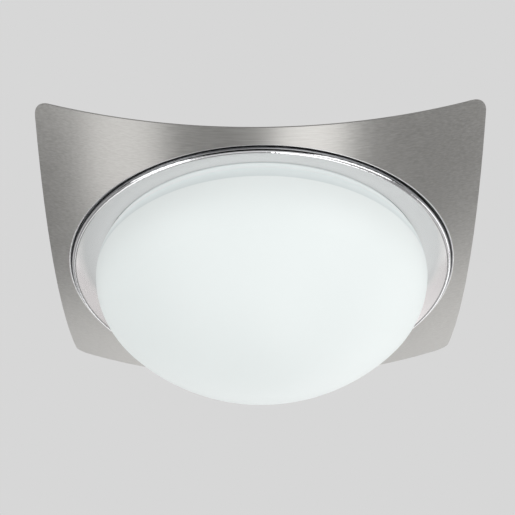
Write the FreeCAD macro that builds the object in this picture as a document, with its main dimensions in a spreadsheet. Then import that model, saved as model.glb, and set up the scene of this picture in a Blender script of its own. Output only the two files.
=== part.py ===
import FreeCAD, Part
import math
import os
import re
import Sketcher
from FreeCAD import Placement, Rotation, Vector

# Flush mount ceiling light: a square sheet-metal plate with raised corners, a polished round pan
# that stands through it, and an opal glass bowl that pushes up over three spring clips in the pan.
# Millimetres. +Z is up and z = 0 is the ceiling, so the whole light hangs below the origin.

SIZES = {
    # Cover plate: a square of sheet pressed into a shallow dome, so only its corners meet the ceiling.
    # Pressing bows its sides out a little, and its round hole has a turned-up edge.
    "plate_side": 300.0,
    "plate_corner": 10.0,
    "side_bow": 0.9,
    "plate_sheet": 0.8,
    "plate_dome": 460.0,  # radius of the visible face
    "edge_rise": 4.0,
    "edge_bend": 0.2,
    "ceiling_gap": 0.3,
    # Pan: one pressing, with a rim that shows as a polished ring and a dish behind it.
    "ring_margin": 13.3,  # from the ring to the middle of the plate's side
    "ring_height": 4.4,
    "lip_round": 2.0,
    "dish_slope": 25.0,  # degrees from level
    "pan_sheet": 0.8,
    "shadow_gap": 0.9,
    "flange_width": 10.0,
    "floor_rise": 15.57,  # from the ring's top to the underside of the pan's floor
    "pan_bend": 2.0,
    # Studs welded to the plate's back, and their nuts, which hold the pan's flange.
    "plate_studs": 4,
    "plate_stud_inset": 4.4,
    "plate_stud_radius": 1.5,
    "plate_stud_length": 7.5,
    "plate_nut_flats": 5.5,
    "plate_nut_height": 2.4,
    "stud_play": 0.1,
    "flange_play": 0.05,
    "weld_lift": 0.01,  # flat ends on a curved sheet
    "nut_lift": 0.02,
    # Opal glass bowl. Its widest circle hangs clear below the ring.
    "glass_margin": 17.5,  # from the ring to the glass's widest circle
    "glass_drop": 9.53,
    "glass_wall": 3.0,
    "bowl_depth": 79.5,
    "bowl_side_round": 47.4,
    "shoulder_round": 36.0,
    "shoulder_tilt": 3.4,  # degrees
    "neck_inset": 7.0,
    "neck_play": 3.0,
    "rim_round": 1.2,
    "seat_play": 0.3,
    "gasket_thickness": 1.5,
    "gasket_overlap": 0.7,
    # Mounting bar: a hat-shaped strap that lies on the ceiling and carries the pan on its feet.
    "bar_width": 22.0,
    "bar_sheet": 1.5,
    "bar_leg": 50.0,
    "bar_foot": 22.0,
    "slot_spacing": 60.0,
    "slot_length": 18.0,
    "slot_width": 5.0,
    "stud_spacing": 124.0,
    "stud_radius": 2.0,
    "stud_length": 9.0,
    "crown_room": 0.3,
    "crown_wall": 1.2,
    "stud_head_radius": 4.0,
    "stud_head_height": 1.5,
    "washer_radius": 4.5,
    "washer_sheet": 0.8,
    "nut_flats": 7.0,
    "nut_height": 3.2,
    "nut_dome_radius": 3.3,
    # Spring clips: a riveted foot with a leg down, a turned end, and a leaf up to the glass's neck.
    "clips": 3,
    "clip_width": 12.0,
    "clip_sheet": 0.5,
    "clip_foot_length": 15.0,
    "clip_depth": 10.0,  # from the leg's outer face to the nose
    "clip_leg_drop": 28.2,
    "clip_turn": 3.0,
    "clip_split": 0.3,
    "clip_nose_drop": 3.7,
    "clip_tip_drop": 1.4,
    "clip_tip_back": 2.2,
    "clip_lean_drop": 10.2,
    "clip_lean_back": 3.0,
    "clip_skew": 1.25,  # level thickness of the leaning strip, in sheets
    "clip_play": 0.2,
    "rivet_inset": 8.5,
    "rivet_radius": 1.5,
    "rivet_head_radius": 3.0,
    "rivet_head_height": 1.2,
    "rivet_tail_radius": 2.6,
    "rivet_tail_height": 1.0,
    "rivet_play": 0.05,
    "clip_start": 60.0,  # degrees round from +X
    # Lampholders: two, lying head to tail, each on its own angle bracket.
    "lamp_drop": 37.2,
    "lamp_offset": 33.0,
    "holder_inset": 46.2,  # from the glass's neck to the holder's back
    "holder_rear_radius": 16.0,
    "holder_rear_length": 14.0,
    "holder_skirt_radius": 20.5,
    "holder_skirt_start": 18.5,
    "holder_length": 42.0,
    "holder_floor": 17.0,
    "sleeve_sheet": 0.4,
    "sleeve_inset": 2.0,
    "sleeve_play": 0.05,
    "bulb_play": 0.08,
    "contact_sheet": 0.5,
    "contact_rise": 3.0,
    "contact_width": 6.0,
    "contact_reach": 8.0,
    "contact_bend": 4.0,
    "contact_end": 3.5,
    "contact_play": 0.3,
    "entry_radius": 1.4,
    "entry_spread": 5.0,
    "entry_from_back": 7.0,
    "entry_depth": 5.0,
    "bracket_sheet": 1.2,
    "bracket_width": 24.0,
    "bracket_below": 12.0,
    "bracket_foot": 16.0,
    "bracket_screw_spread": 8.0,
    "bracket_screw_radius": 1.5,
    "bracket_screw_length": 8.0,
    "screw_head_radius": 2.8,
    "screw_head_height": 1.8,
    # Bulbs with the common 26 mm screw cap.
    "bulb_radius": 30.0,
    "bulb_length": 107.0,
    "bulb_wall": 1.0,
    "bulb_neck_radius": 12.6,
    "bulb_taper": 25.0,  # degrees
    "bulb_neck_start": 22.0,
    "cap_radius": 13.2,
    "cap_sheet": 0.4,
    "cap_start": 6.5,
    "cap_end": 26.0,
    "cap_mouth_radius": 8.6,
    "cap_mouth_start": 4.2,
    "tip_radius": 4.6,
    "tip_height": 1.2,
    # Terminal block on the pan's floor, with its supply side outward.
    "block_length": 34.0,
    "block_width": 20.0,
    "block_height": 16.0,
    "block_inset": 32.2,  # from the glass's neck to the block's middle
    "pole_pitch": 10.0,
    "pole_drop": 7.0,
    "tube_radius": 2.9,
    "tube_bore": 1.9,
    "tube_play": 0.05,
    "clamp_spread": 5.0,
    "clamp_screw_radius": 1.7,
    "clamp_screw_length": 4.0,
    "well_play": 0.2,
    "block_screw_radius": 1.3,
    "block_screw_head": 2.2,
    "block_screw_sink": 3.0,
    "block_screw_head_height": 1.6,
    "block_screw_tail": 3.0,
    "screw_play": 0.05,
    # Cable grommet in the pan's floor.
    "grommet_x": -30.0,
    "grommet_y": 72.0,
    "grommet_bore": 4.0,
    "grommet_waist": 6.0,
    "grommet_rim": 8.0,
    "grommet_lip": 2.0,
    "grommet_play": 0.1,
    # Earth screw, its nut and the ring tag on the earth lead.
    "earth_x": 30.0,
    "earth_y": 50.0,
    "earth_radius": 2.0,
    "earth_length": 8.0,
    "earth_head_radius": 3.8,
    "earth_head_height": 2.4,
    "earth_nut_flats": 7.0,
    "earth_nut_height": 3.2,
    "tag_sheet": 0.8,
    "tag_radius": 5.0,
    "tag_barrel_radius": 1.9,
    "tag_barrel_length": 5.0,
    "tag_play": 0.2,
    "lead_radius": 1.1,
    "lead_step": 1.35,  # half the rise from lampholder b's leads to lampholder a's
    "lead_insert": 4.0,
}

# Places worked out from the sizes. Each may use sizes and other places.
PLACES = {
    "corner_reach": "sqrt(2) * (plate_side / 2 - plate_corner) + plate_corner",
    "dome_centre": "sqrt((plate_dome - plate_sheet) ^ 2 - corner_reach ^ 2) - ceiling_gap",
    "side_round": "((plate_side / 2 - plate_corner) ^ 2 + side_bow ^ 2) / (2 * side_bow)",
    "ring_radius": "plate_side / 2 - ring_margin",
    "ring_top": "dome_centre - sqrt(plate_dome ^ 2 - ring_radius ^ 2)",
    "plate_hole": "ring_radius + shadow_gap",
    "plate_far": "corner_reach + plate_corner",
    "lip_z": "ring_top - ring_height",
    "floor_z": "ring_top + floor_rise",
    "pan_back": "floor_z + pan_sheet",
    "flange_end": "ring_radius + flange_width",
    "flange_face": "plate_dome - edge_rise - flange_play",
    "flange_back": "flange_face - pan_sheet",
    "glass_radius": "ring_radius - glass_margin",
    "neck_radius": "glass_radius - neck_inset",
    "recess_radius": "neck_radius + neck_play",
    "dish_z": "lip_z + (ring_radius - recess_radius) * tan(dish_slope)",
    "dish_skin": "pan_sheet / cos(dish_slope)",
    "plate_stud_reach": "plate_hole + plate_stud_inset",
    "plate_stud_tilt": "asin(plate_stud_reach / (plate_dome - plate_sheet))",
    "plate_stud_z": "dome_centre - sqrt((plate_dome - plate_sheet) ^ 2 - plate_stud_reach ^ 2)",
    "glass_z": "ring_top - glass_drop",
    "rim_z": "floor_z - gasket_thickness - seat_play",
    "bowl_round": "((glass_radius - bowl_side_round) ^ 2 + bowl_depth ^ 2 - bowl_side_round ^ 2)"
                  " / (2 * (bowl_depth - bowl_side_round))",
    "bowl_span": "bowl_round - bowl_side_round",
    "shoulder_x": "glass_radius - shoulder_round * cos(shoulder_tilt)",
    "shoulder_z": "glass_z - shoulder_round * sin(shoulder_tilt)",
    "nose_reach": "neck_radius - glass_wall - clip_play",
    "clip_leg_reach": "nose_reach - clip_depth",
    "clip_foot_reach": "clip_leg_reach - clip_foot_length",
    "rivet_reach": "clip_leg_reach - rivet_inset",
    "clip_top": "floor_z - clip_sheet",
    "clip_bottom": "floor_z - clip_leg_drop",
    "clip_outer": "clip_leg_reach + 2 * clip_turn - clip_sheet",
    "clip_hinge": "clip_leg_reach + clip_turn - clip_sheet",
    "clip_turn_z": "clip_bottom + clip_turn",
    "lamp_z": "floor_z - lamp_drop",
    "holder_back": "neck_radius - holder_inset",
    "sleeve_bore": "cap_radius + bulb_play",
    "holder_bore": "sleeve_bore + sleeve_sheet + sleeve_play",
    "bulb_start": "holder_floor + contact_rise + contact_play",
    "bulb_centre": "bulb_length - bulb_radius",
    "taper_radius": "bulb_radius * cos(bulb_taper)",
    "taper_top": "bulb_centre - bulb_radius * sin(bulb_taper)",
    "taper_foot": "taper_top - (taper_radius - bulb_neck_radius) / tan(bulb_taper)",
    "block_reach": "neck_radius - block_inset",
    "pole_z": "floor_z - pole_drop",
    "block_bottom": "floor_z - block_height",
    "bracket_rivet_x": "holder_back + bracket_sheet + bracket_foot / 2",
    "bracket_rivet_near": "lamp_offset - bracket_width / 4",
    "bracket_rivet_far": "lamp_offset + bracket_width / 4",
    "tag_z": "floor_z - tag_sheet",
    "tag_barrel_end": "earth_x - earth_head_radius - tag_play",
}

doc = FreeCAD.newDocument("flush_mount_ceiling_light")
sheet = doc.addObject("Spreadsheet::Sheet", "Sizes")
parts = []


def fill_sheet():
    for row, (alias, size) in enumerate(SIZES.items(), start=1):
        sheet.set(f"A{row}", alias)
        sheet.set(f"B{row}", str(size))
        sheet.setAlias(f"B{row}", alias)
    doc.recompute()


def expand(text):
    """Write an expression with every place worked out and every size read from the sheet."""
    def swap(match):
        word = match.group()
        if word in PLACES:
            return "(" + expand(PLACES[word]) + ")"
        if word in SIZES:
            return "Sizes." + word
        return word
    return re.sub(r"[a-z][a-z_]*", swap, text)


def number(text):
    result = sheet.evalExpression(expand(text))
    return float(getattr(result, "Value", result))


def new_body(label):
    body = doc.addObject("PartDesign::Body", label)
    body.Label = label
    parts.append(body)
    return body


def new_sketch(body, name, role="XZ_Plane", x="0", y="0", z="0", tilt="0", support=None):
    """A sketch on an origin plane, moved in that plane by x and y, off it by z, and turned by tilt."""
    sketch = body.newObject("Sketcher::SketchObject", name)
    plane = support or [item for item in body.Origin.OriginFeatures if item.Role == role][0]
    sketch.AttachmentSupport = (plane, [""])
    sketch.MapMode = "FlatFace"
    for target, text in (("Base.x", x), ("Base.y", y), ("Base.z", z), ("Rotation.Angle", tilt)):
        if text != "0":
            sketch.setExpression("AttachmentOffset." + target, expand(text))
    doc.recompute()
    return sketch


def bind(sketch, constraint, text):
    index = sketch.addConstraint(constraint)
    sketch.setExpression(f"Constraints[{index}]", expand(text))


def pin_point(sketch, geometry, position, x, y):
    bind(sketch, Sketcher.Constraint("DistanceX", -1, 1, geometry, position, number(x)), x)
    bind(sketch, Sketcher.Constraint("DistanceY", -1, 1, geometry, position, number(y)), y)


def arc_between(here, there, radius, side):
    chord = there - here
    left = Vector(-chord.y, chord.x, 0).normalize()
    rise = math.sqrt(max(radius ** 2 - (chord.Length / 2) ** 2, 0.0))
    centre = (here + there) * 0.5 + left * rise * side
    first, last = (here, there) if side > 0 else (there, here)
    start = math.atan2(first.y - centre.y, first.x - centre.x)
    end = math.atan2(last.y - centre.y, last.x - centre.x)
    if end < start:
        end += 2 * math.pi
    return Part.ArcOfCircle(Part.Circle(centre, Vector(0, 0, 1), radius), start, end)


def outline(sketch, corners, arcs=None):
    """A closed profile through the corners. arcs maps an edge to its radius and the side its centre
    lies on: 1 is left of the way from corner to corner, -1 is right."""
    arcs = arcs or {}
    points = [Vector(number(x), number(y), 0) for x, y in corners]
    edges = []
    for i, here in enumerate(points):
        there = points[(i + 1) % len(points)]
        if i not in arcs:
            edges.append((sketch.addGeometry(Part.LineSegment(here, there), False), 1, 2))
            continue
        radius, side = arcs[i]
        arc = sketch.addGeometry(arc_between(here, there, number(radius), side), False)
        edges.append((arc, 1, 2) if side > 0 else (arc, 2, 1))
    for i, (edge, start, end) in enumerate(edges):
        following, its_start, _ = edges[(i + 1) % len(edges)]
        sketch.addConstraint(Sketcher.Constraint("Coincident", edge, end, following, its_start))
        pin_point(sketch, edge, start, *corners[i])
    for i, (radius, _) in arcs.items():
        bind(sketch, Sketcher.Constraint("Radius", edges[i][0], number(radius)), radius)


def circles(sketch, centres, radius):
    for x, y in centres:
        circle = Part.Circle(Vector(number(x), number(y), 0), Vector(0, 0, 1), number(radius))
        geometry = sketch.addGeometry(circle, False)
        pin_point(sketch, geometry, 3, x, y)
        bind(sketch, Sketcher.Constraint("Radius", geometry, number(radius)), radius)


def hexagon(sketch, flats):
    """A hexagon about the sketch's own origin, measured across its flats."""
    half, side = f"({flats} / 2)", f"({flats} / sqrt(3))"
    outline(sketch, [(side, "0"), (f"{side} / 2", half), (f"-{side} / 2", half),
                     (f"-{side}", "0"), (f"-{side} / 2", f"-{half}"), (f"{side} / 2", f"-{half}")])


def add_feature(body, kind, name, sketch, **settings):
    before = body.Tip.Shape.Volume if body.Tip else 0.0
    feature = body.newObject("PartDesign::" + kind, name)
    feature.Profile = sketch
    for key, setting in settings.items():
        if isinstance(setting, str) and key in ("Length", "Angle"):
            feature.setExpression(key, expand(setting))
        else:
            setattr(feature, key, setting)
    sketch.Visibility = False
    doc.recompute()
    if kind in ("Pocket", "Groove") and feature.Shape.Volume > before - 0.001:
        raise RuntimeError(f"{name} cuts nothing")
    return feature


def revolve(body, sketch, name, kind="Revolution"):
    return add_feature(body, kind, name, sketch, ReferenceAxis=(sketch, ["V_Axis"]), Angle=360.0)


def pad(body, sketch, name, length):
    return add_feature(body, "Pad", name, sketch, Length=length, SideType="Symmetric")


def cut_through(body, sketch, name):
    return add_feature(body, "Pocket", name, sketch, Type="ThroughAll", SideType="Symmetric")


def copies_round(body, features, name, count):
    """Repeat features evenly about the body's own Z axis."""
    pattern = body.newObject("PartDesign::PolarPattern", name)
    pattern.Originals = features
    axis = [item for item in body.Origin.OriginFeatures if item.Role == "Z_Axis"][0]
    pattern.Axis = (axis, [""])
    pattern.Angle = 360.0
    pattern.Occurrences = 2
    pattern.setExpression("Occurrences", expand(count))
    body.Tip = pattern
    doc.recompute()
    return pattern


def round_edges(body, name, radius, wanted):
    """Fillet the edges of the tip whose middle passes the test."""
    tip = body.Tip
    chosen = [f"Edge{i}" for i, edge in enumerate(tip.Shape.Edges, start=1) if wanted(edge)]
    fillet = body.newObject("PartDesign::Fillet", name)
    fillet.Base = (tip, chosen)
    fillet.Radius = number(radius)
    fillet.setExpression("Radius", expand(radius))
    doc.recompute()
    return fillet


def ring_edge(radius, z):
    """A test for a full circle about Z of the given radius and height."""
    wanted_radius, wanted_z = number(radius), number(z)

    def test(edge):
        box = edge.BoundBox
        return (abs(box.ZMax - wanted_z) < 0.02 and box.ZLength < 0.02
                and abs(box.XLength / 2 - wanted_radius) < 0.02)
    return test


def place(item, x="0", y="0", z="0", rotation=None):
    item.Placement = Placement(Vector(), rotation or Rotation())
    for axis, text in (("x", x), ("y", y), ("z", z)):
        item.setExpression("Placement.Base." + axis, expand(text))


def dome_height(radius, reach):
    """Height of a sphere about the plate's dome centre, at a distance from the axis."""
    return f"dome_centre - sqrt(({radius}) ^ 2 - ({reach}) ^ 2)"


def make_cover_plate():
    body = new_body("cover_plate")
    back, edge_top = "plate_dome - plate_sheet", "plate_dome - edge_rise"
    edge_back = "(plate_hole + plate_sheet)"
    hole_z, back_z = dome_height("plate_dome", "plate_hole"), dome_height(back, edge_back)
    profile = new_sketch(body, "plate_section")
    outline(profile, [("plate_hole", hole_z),
                      ("plate_far", dome_height("plate_dome", "plate_far")),
                      ("plate_far", dome_height(back, "plate_far")), (edge_back, back_z),
                      (edge_back, dome_height(edge_top, edge_back)),
                      ("plate_hole", dome_height(edge_top, "plate_hole"))],
            {0: ("plate_dome", 1), 2: (back, -1)})
    revolve(body, profile, "dome")
    inner_bend, outer_bend = ring_edge(edge_back, back_z), ring_edge("plate_hole", hole_z)
    round_edges(body, "edge_bend_back", "edge_bend", inner_bend)
    round_edges(body, "edge_bend_front", "edge_bend + plate_sheet", outer_bend)
    square = new_sketch(body, "plate_outline", "XY_Plane")
    half, straight = "plate_side / 2", "(plate_side / 2 - plate_corner)"
    outline(square, [(straight, f"-{half}"), (half, f"-{straight}"), (half, straight), (straight, half),
                     (f"-{straight}", half), (f"-{half}", straight), (f"-{half}", f"-{straight}"),
                     (f"-{straight}", f"-{half}")],
            {edge: ("side_round" if edge % 2 else "plate_corner", 1) for edge in range(8)})
    circles(square, [("0", "0")], "plate_far + 5")
    add_feature(body, "Pocket", "trim_to_square", square, Length="plate_side", SideType="Symmetric")


def make_pan():
    body = new_body("pan")
    profile = new_sketch(body, "pan_section")
    wall_back, recess_back = "ring_radius - pan_sheet", "recess_radius + pan_sheet"
    lip_back_z = "lip_z + pan_sheet * tan(dish_slope) + dish_skin"
    outline(profile, [("0", "floor_z"), ("recess_radius", "floor_z"), ("recess_radius", "dish_z"),
                      ("ring_radius", "lip_z"), ("ring_radius", dome_height("flange_face", "ring_radius")),
                      ("flange_end", dome_height("flange_face", "flange_end")),
                      ("flange_end", dome_height("flange_back", "flange_end")),
                      (wall_back, dome_height("flange_back", wall_back)),
                      (wall_back, lip_back_z),
                      (recess_back, "dish_z - pan_sheet * tan(dish_slope) + dish_skin"),
                      (recess_back, "pan_back"), ("0", "pan_back")],
            {4: ("flange_face", 1), 6: ("flange_back", -1)})
    revolve(body, profile, "pressing")
    lip, lip_back = ring_edge("ring_radius", "lip_z"), ring_edge(wall_back, lip_back_z)
    round_edges(body, "lip_back", "lip_round - pan_sheet", lip_back)
    round_edges(body, "lip", "lip_round", lip)
    inner, outer = ring_edge("recess_radius", "floor_z"), ring_edge(recess_back, "pan_back")
    round_edges(body, "recess_bend", "pan_bend", inner)
    round_edges(body, "recess_bend_back", "pan_bend + pan_sheet", outer)
    diagonal = body.newObject("PartDesign::Plane", "diagonal")
    upright = [item for item in body.Origin.OriginFeatures if item.Role == "XZ_Plane"][0]
    diagonal.AttachmentSupport = (upright, [""])
    diagonal.MapMode = "FlatFace"
    diagonal.AttachmentOffset = Placement(Vector(), Rotation(Vector(0, 1, 0), 45))
    drill = new_sketch(body, "flange_drill", x="plate_stud_reach", y="plate_stud_z",
                       tilt="plate_stud_tilt", support=diagonal)
    hole = "plate_stud_radius + stud_play"
    beyond = "(edge_rise + 2 * pan_sheet)"
    outline(drill, [("0", "0"), (hole, "0"), (hole, beyond), ("0", beyond)])
    copies_round(body, [revolve(body, drill, "flange_hole", "Groove")], "flange_holes", "plate_studs")
    floor = new_sketch(body, "floor_drills", "XY_Plane")
    circles(floor, [("stud_spacing / 2", "0"), ("-stud_spacing / 2", "0")], "stud_radius + stud_play")
    circles(floor, [("grommet_x", "grommet_y")], "grommet_waist + grommet_play")
    circles(floor, [("earth_x", "earth_y")], "earth_radius + stud_play")
    circles(floor, [("pole_pitch / 2", "block_reach"), ("-pole_pitch / 2", "block_reach")],
            "block_screw_radius + screw_play")
    circles(floor, [("-bracket_rivet_x", "bracket_rivet_near"), ("-bracket_rivet_x", "bracket_rivet_far"),
                    ("bracket_rivet_x", "-bracket_rivet_near"), ("bracket_rivet_x", "-bracket_rivet_far")],
            "rivet_radius + rivet_play")
    cut_through(body, floor, "floor_holes")
    clip_drill = new_sketch(body, "clip_drill", "XY_Plane")
    circles(clip_drill, [("rivet_reach * cos(clip_start)", "rivet_reach * sin(clip_start)")],
            "rivet_radius + rivet_play")
    copies_round(body, [cut_through(body, clip_drill, "clip_hole")], "clip_holes", "clips")


def stepped(body, name, steps, **where):
    """A round piece about its sketch's V axis. steps are (radius, from, to), widest walls outward."""
    profile = new_sketch(body, name + "_section", **where)
    corners = [("0", steps[0][1])]
    for radius, start, end in steps:
        corners += [(radius, start), (radius, end)]
    outline(profile, corners + [("0", steps[-1][2])])
    return revolve(body, profile, name)


def make_plate_fixings():
    """Studs welded square to the plate's back, on its diagonals, and a hexagon nut on each. They pull
    the pan's flange down on to the plate's turned-up edge."""
    on_diagonal = Rotation(Vector(0, 0, 1), 45)
    seat = {"x": "plate_stud_reach", "y": "plate_stud_z", "tilt": "plate_stud_tilt"}
    flange = "(edge_rise - plate_sheet + flange_play + pan_sheet + nut_lift)"
    studs = new_body("plate_studs")
    stud = stepped(studs, "stud", [("plate_stud_radius", "weld_lift", "plate_stud_length")], **seat)
    copies_round(studs, [stud], "studs", "plate_studs")
    place(studs, rotation=on_diagonal)
    nuts = new_body("plate_nuts")
    ring = new_sketch(nuts, "nut_section", **seat)
    bore = "(plate_stud_radius + stud_play)"
    top = f"({flange} + plate_nut_height)"
    outline(ring, [(bore, flange), ("plate_nut_flats / 2", flange), ("plate_nut_flats / 2", top),
                   (bore, top)])
    copies_round(nuts, [revolve(nuts, ring, "nut")], "nuts", "plate_studs")
    place(nuts, rotation=on_diagonal)


def make_glass():
    body = new_body("glass_shade")
    profile = new_sketch(body, "glass_section")
    wall = "glass_wall"
    base = "(glass_z + bowl_round - bowl_depth)"
    rise = "(bowl_round - bowl_depth)"

    def bowl_join(radius):
        return (f"({radius}) * (glass_radius - bowl_side_round) / bowl_span",
                f"{base} - ({radius}) * {rise} / bowl_span")

    def shoulder_end(reach, radius):
        return reach, f"shoulder_z + sqrt(({radius}) ^ 2 - ({reach} - shoulder_x) ^ 2)"

    inner_neck = f"(neck_radius - {wall})"
    outline(profile, [("0", "glass_z - bowl_depth"), bowl_join("bowl_round"), ("glass_radius", "glass_z"),
                      shoulder_end("neck_radius", "shoulder_round"), ("neck_radius", "rim_z"),
                      (inner_neck, "rim_z"), shoulder_end(inner_neck, f"shoulder_round - {wall}"),
                      (f"glass_radius - {wall}", "glass_z"), bowl_join(f"bowl_round - {wall}"),
                      ("0", f"glass_z - bowl_depth + {wall}")],
            {0: ("bowl_round", 1), 1: ("bowl_side_round", 1), 2: ("shoulder_round", 1),
             6: (f"shoulder_round - {wall}", -1), 7: (f"bowl_side_round - {wall}", -1),
             8: (f"bowl_round - {wall}", -1)})
    revolve(body, profile, "blown_bowl")
    outer, inner = ring_edge("neck_radius", "rim_z"), ring_edge(inner_neck, "rim_z")
    round_edges(body, "fire_polished_rim", "rim_round", lambda edge: outer(edge) or inner(edge))


def make_gasket():
    body = new_body("glass_gasket")
    profile = new_sketch(body, "gasket_section")
    inner = "neck_radius - glass_wall - gasket_overlap"
    outer = "neck_radius + gasket_overlap"
    below = "floor_z - gasket_thickness"
    outline(profile, [(inner, below), (outer, below), (outer, "floor_z"), (inner, "floor_z")])
    revolve(body, profile, "gasket_ring")


def slot_outline(sketch, centre):
    """A slot along X, its round ends drawn as quarter turns."""
    radius, straight = "(slot_width / 2)", "((slot_length - slot_width) / 2)"
    left, right = f"({centre} - {straight})", f"({centre} + {straight})"
    outline(sketch, [(left, f"-{radius}"), (right, f"-{radius}"), (f"{right} + {radius}", "0"),
                     (right, radius), (left, radius), (f"{left} - {radius}", "0")],
            {edge: ("slot_width / 2", 1) for edge in (1, 2, 4, 5)})


def make_mounting_bar():
    body = new_body("mounting_bar")
    profile = new_sketch(body, "bar_section")
    foot_top, inner_leg, end = "(pan_back + bar_sheet)", "(bar_leg - bar_sheet)", "(bar_leg + bar_foot)"
    outline(profile, [(f"-{end}", "pan_back"), (f"-{inner_leg}", "pan_back"),
                      (f"-{inner_leg}", "-bar_sheet"), (inner_leg, "-bar_sheet"),
                      (inner_leg, "pan_back"), (end, "pan_back"),
                      (end, foot_top), ("bar_leg", foot_top), ("bar_leg", "0"), ("-bar_leg", "0"),
                      ("-bar_leg", foot_top), (f"-{end}", foot_top)])
    pad(body, profile, "strap", "bar_width")
    outer_bends = [("bar_leg", "0"), (inner_leg, "pan_back")]
    inner_bends = [("bar_leg", foot_top), (inner_leg, "-bar_sheet")]
    for name, bends, radius in (("outer_bends", outer_bends, "2 * bar_sheet"),
                                ("inner_bends", inner_bends, "bar_sheet")):
        places = [(number(x), number(z)) for x, z in bends]
        round_edges(body, name, radius, lambda edge: edge.BoundBox.YLength > 1 and any(
            abs(abs(edge.CenterOfMass.x) - x) < 0.02 and abs(edge.CenterOfMass.z - z) < 0.02
            for x, z in places))
    slots = new_sketch(body, "slot_outlines", "XY_Plane")
    slot_outline(slots, "(-slot_spacing / 2)")
    slot_outline(slots, "(slot_spacing / 2)")
    circles(slots, [("-stud_spacing / 2", "0"), ("stud_spacing / 2", "0")], "stud_radius + screw_play")
    cut_through(body, slots, "slots_and_stud_holes")


def make_bar_fixings():
    """Two studs pressed into the bar's feet, with a washer and a domed nut under the pan's floor."""
    at = {"x": "stud_spacing / 2"}
    seat, tail = "(pan_back + bar_sheet)", "(floor_z - stud_length)"
    studs = new_body("fixing_studs")
    stud = stepped(studs, "stud", [("stud_radius", tail, seat),
                                   ("stud_head_radius", seat, f"{seat} + stud_head_height")], **at)
    copies_round(studs, [stud], "stud_pair", "2")
    washers = new_body("fixing_washers")
    ring = new_sketch(washers, "washer_section", **at)
    hole, under = "(stud_radius + stud_play)", "(floor_z - washer_sheet)"
    outline(ring, [(hole, under), ("washer_radius", under), ("washer_radius", "floor_z"),
                   (hole, "floor_z")])
    copies_round(washers, [revolve(washers, ring, "washer")], "washer_pair", "2")
    nuts = new_body("fixing_nuts")
    low, bore = f"({under} - nut_height)", "(stud_radius + screw_play)"
    crown = f"({tail} - crown_room - crown_wall)"
    hexes = new_sketch(nuts, "nut_outline", "XY_Plane", x="stud_spacing / 2", z=low)
    hexagon(hexes, "nut_flats")
    circles(hexes, [("0", "0")], bore)
    flats = add_feature(nuts, "Pad", "hexagon_part", hexes, Length="nut_height")
    dome = new_sketch(nuts, "crown_section", **at)
    outline(dome, [("0", crown), ("nut_dome_radius", f"{crown} + nut_dome_radius"),
                   ("nut_dome_radius", low), (bore, low), (bore, f"{tail} - crown_room"),
                   ("0", f"{tail} - crown_room")],
            {0: ("nut_dome_radius", 1)})
    copies_round(nuts, [flats, revolve(nuts, dome, "crown")], "nut_pair", "2")


def make_clips():
    """Hairpin clips: each foot and leg is riveted to the floor, and its outer leaf bears on the neck."""
    half_split = "(clip_split / 2)"

    def turn_low(radius):
        return f"clip_turn_z - sqrt(({radius}) ^ 2 - {half_split} ^ 2)"

    inner_turn = "clip_turn - clip_sheet"
    feet = new_body("clip_feet")
    profile = new_sketch(feet, "foot_section")
    leg_back = "clip_leg_reach - clip_sheet"
    outline(profile, [("clip_foot_reach", "floor_z"), ("clip_foot_reach", "clip_top"),
                      (leg_back, "clip_top"), (leg_back, "clip_turn_z"),
                      (f"clip_hinge - {half_split}", turn_low("clip_turn")),
                      (f"clip_hinge - {half_split}", turn_low(inner_turn)),
                      ("clip_leg_reach", "clip_turn_z"), ("clip_leg_reach", "floor_z")],
            {3: ("clip_turn", 1), 5: (inner_turn, -1)})
    foot = pad(feet, profile, "foot_strip", "clip_width")
    drill = new_sketch(feet, "rivet_drill", "XY_Plane")
    circles(drill, [("rivet_reach", "0")], "rivet_radius + rivet_play")
    copies_round(feet, [foot, cut_through(feet, drill, "rivet_hole")], "feet", "clips")
    place(feet, rotation=Rotation(Vector(0, 0, 1), number("clip_start")))
    for i in range(int(number("clips"))):
        leaf = new_body(f"clip_spring_{i + 1}")
        strip = new_sketch(leaf, f"leaf_section_{i + 1}")
        lean, thick = "(nose_reach - clip_lean_back)", "(clip_skew * clip_sheet)"
        nose_z, lean_z = "floor_z - clip_nose_drop", "floor_z - clip_lean_drop"
        tip, tip_z = "nose_reach - clip_tip_back", "floor_z - clip_tip_drop"
        outline(strip, [(f"clip_hinge + {half_split}", turn_low("clip_turn")),
                        ("clip_outer", "clip_turn_z"), (lean, lean_z), ("nose_reach", nose_z),
                        (tip, tip_z), (f"{tip} - {thick}", tip_z), (f"nose_reach - {thick}", nose_z),
                        (f"{lean} - {thick}", lean_z), ("clip_outer - clip_sheet", "clip_turn_z"),
                        (f"clip_hinge + {half_split}", turn_low(inner_turn))],
                {0: ("clip_turn", 1), 8: (inner_turn, -1)})
        pad(leaf, strip, f"leaf_{i + 1}", "clip_width")
        place(leaf, rotation=Rotation(Vector(0, 0, 1), number(f"clip_start + {i} * 360 / clips")))


def rivet_steps(sheet_held):
    seat = f"(floor_z - {sheet_held})"
    return [("rivet_head_radius", f"{seat} - rivet_head_height", seat),
            ("rivet_radius", seat, "pan_back"),
            ("rivet_tail_radius", "pan_back", "pan_back + rivet_tail_height")]


def make_rivets():
    clip_rivets = new_body("clip_rivets")
    rivet = stepped(clip_rivets, "clip_rivet", rivet_steps("clip_sheet"), x="rivet_reach")
    copies_round(clip_rivets, [rivet], "clip_rivet_set", "clips")
    place(clip_rivets, rotation=Rotation(Vector(0, 0, 1), number("clip_start")))
    bracket_rivets = new_body("bracket_rivets")
    pair = [stepped(bracket_rivets, name, rivet_steps("bracket_sheet"), x="-bracket_rivet_x", z=f"-{y}")
            for name, y in (("near_rivet", "bracket_rivet_near"), ("far_rivet", "bracket_rivet_far"))]
    copies_round(bracket_rivets, pair, "bracket_rivet_set", "2")


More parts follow.
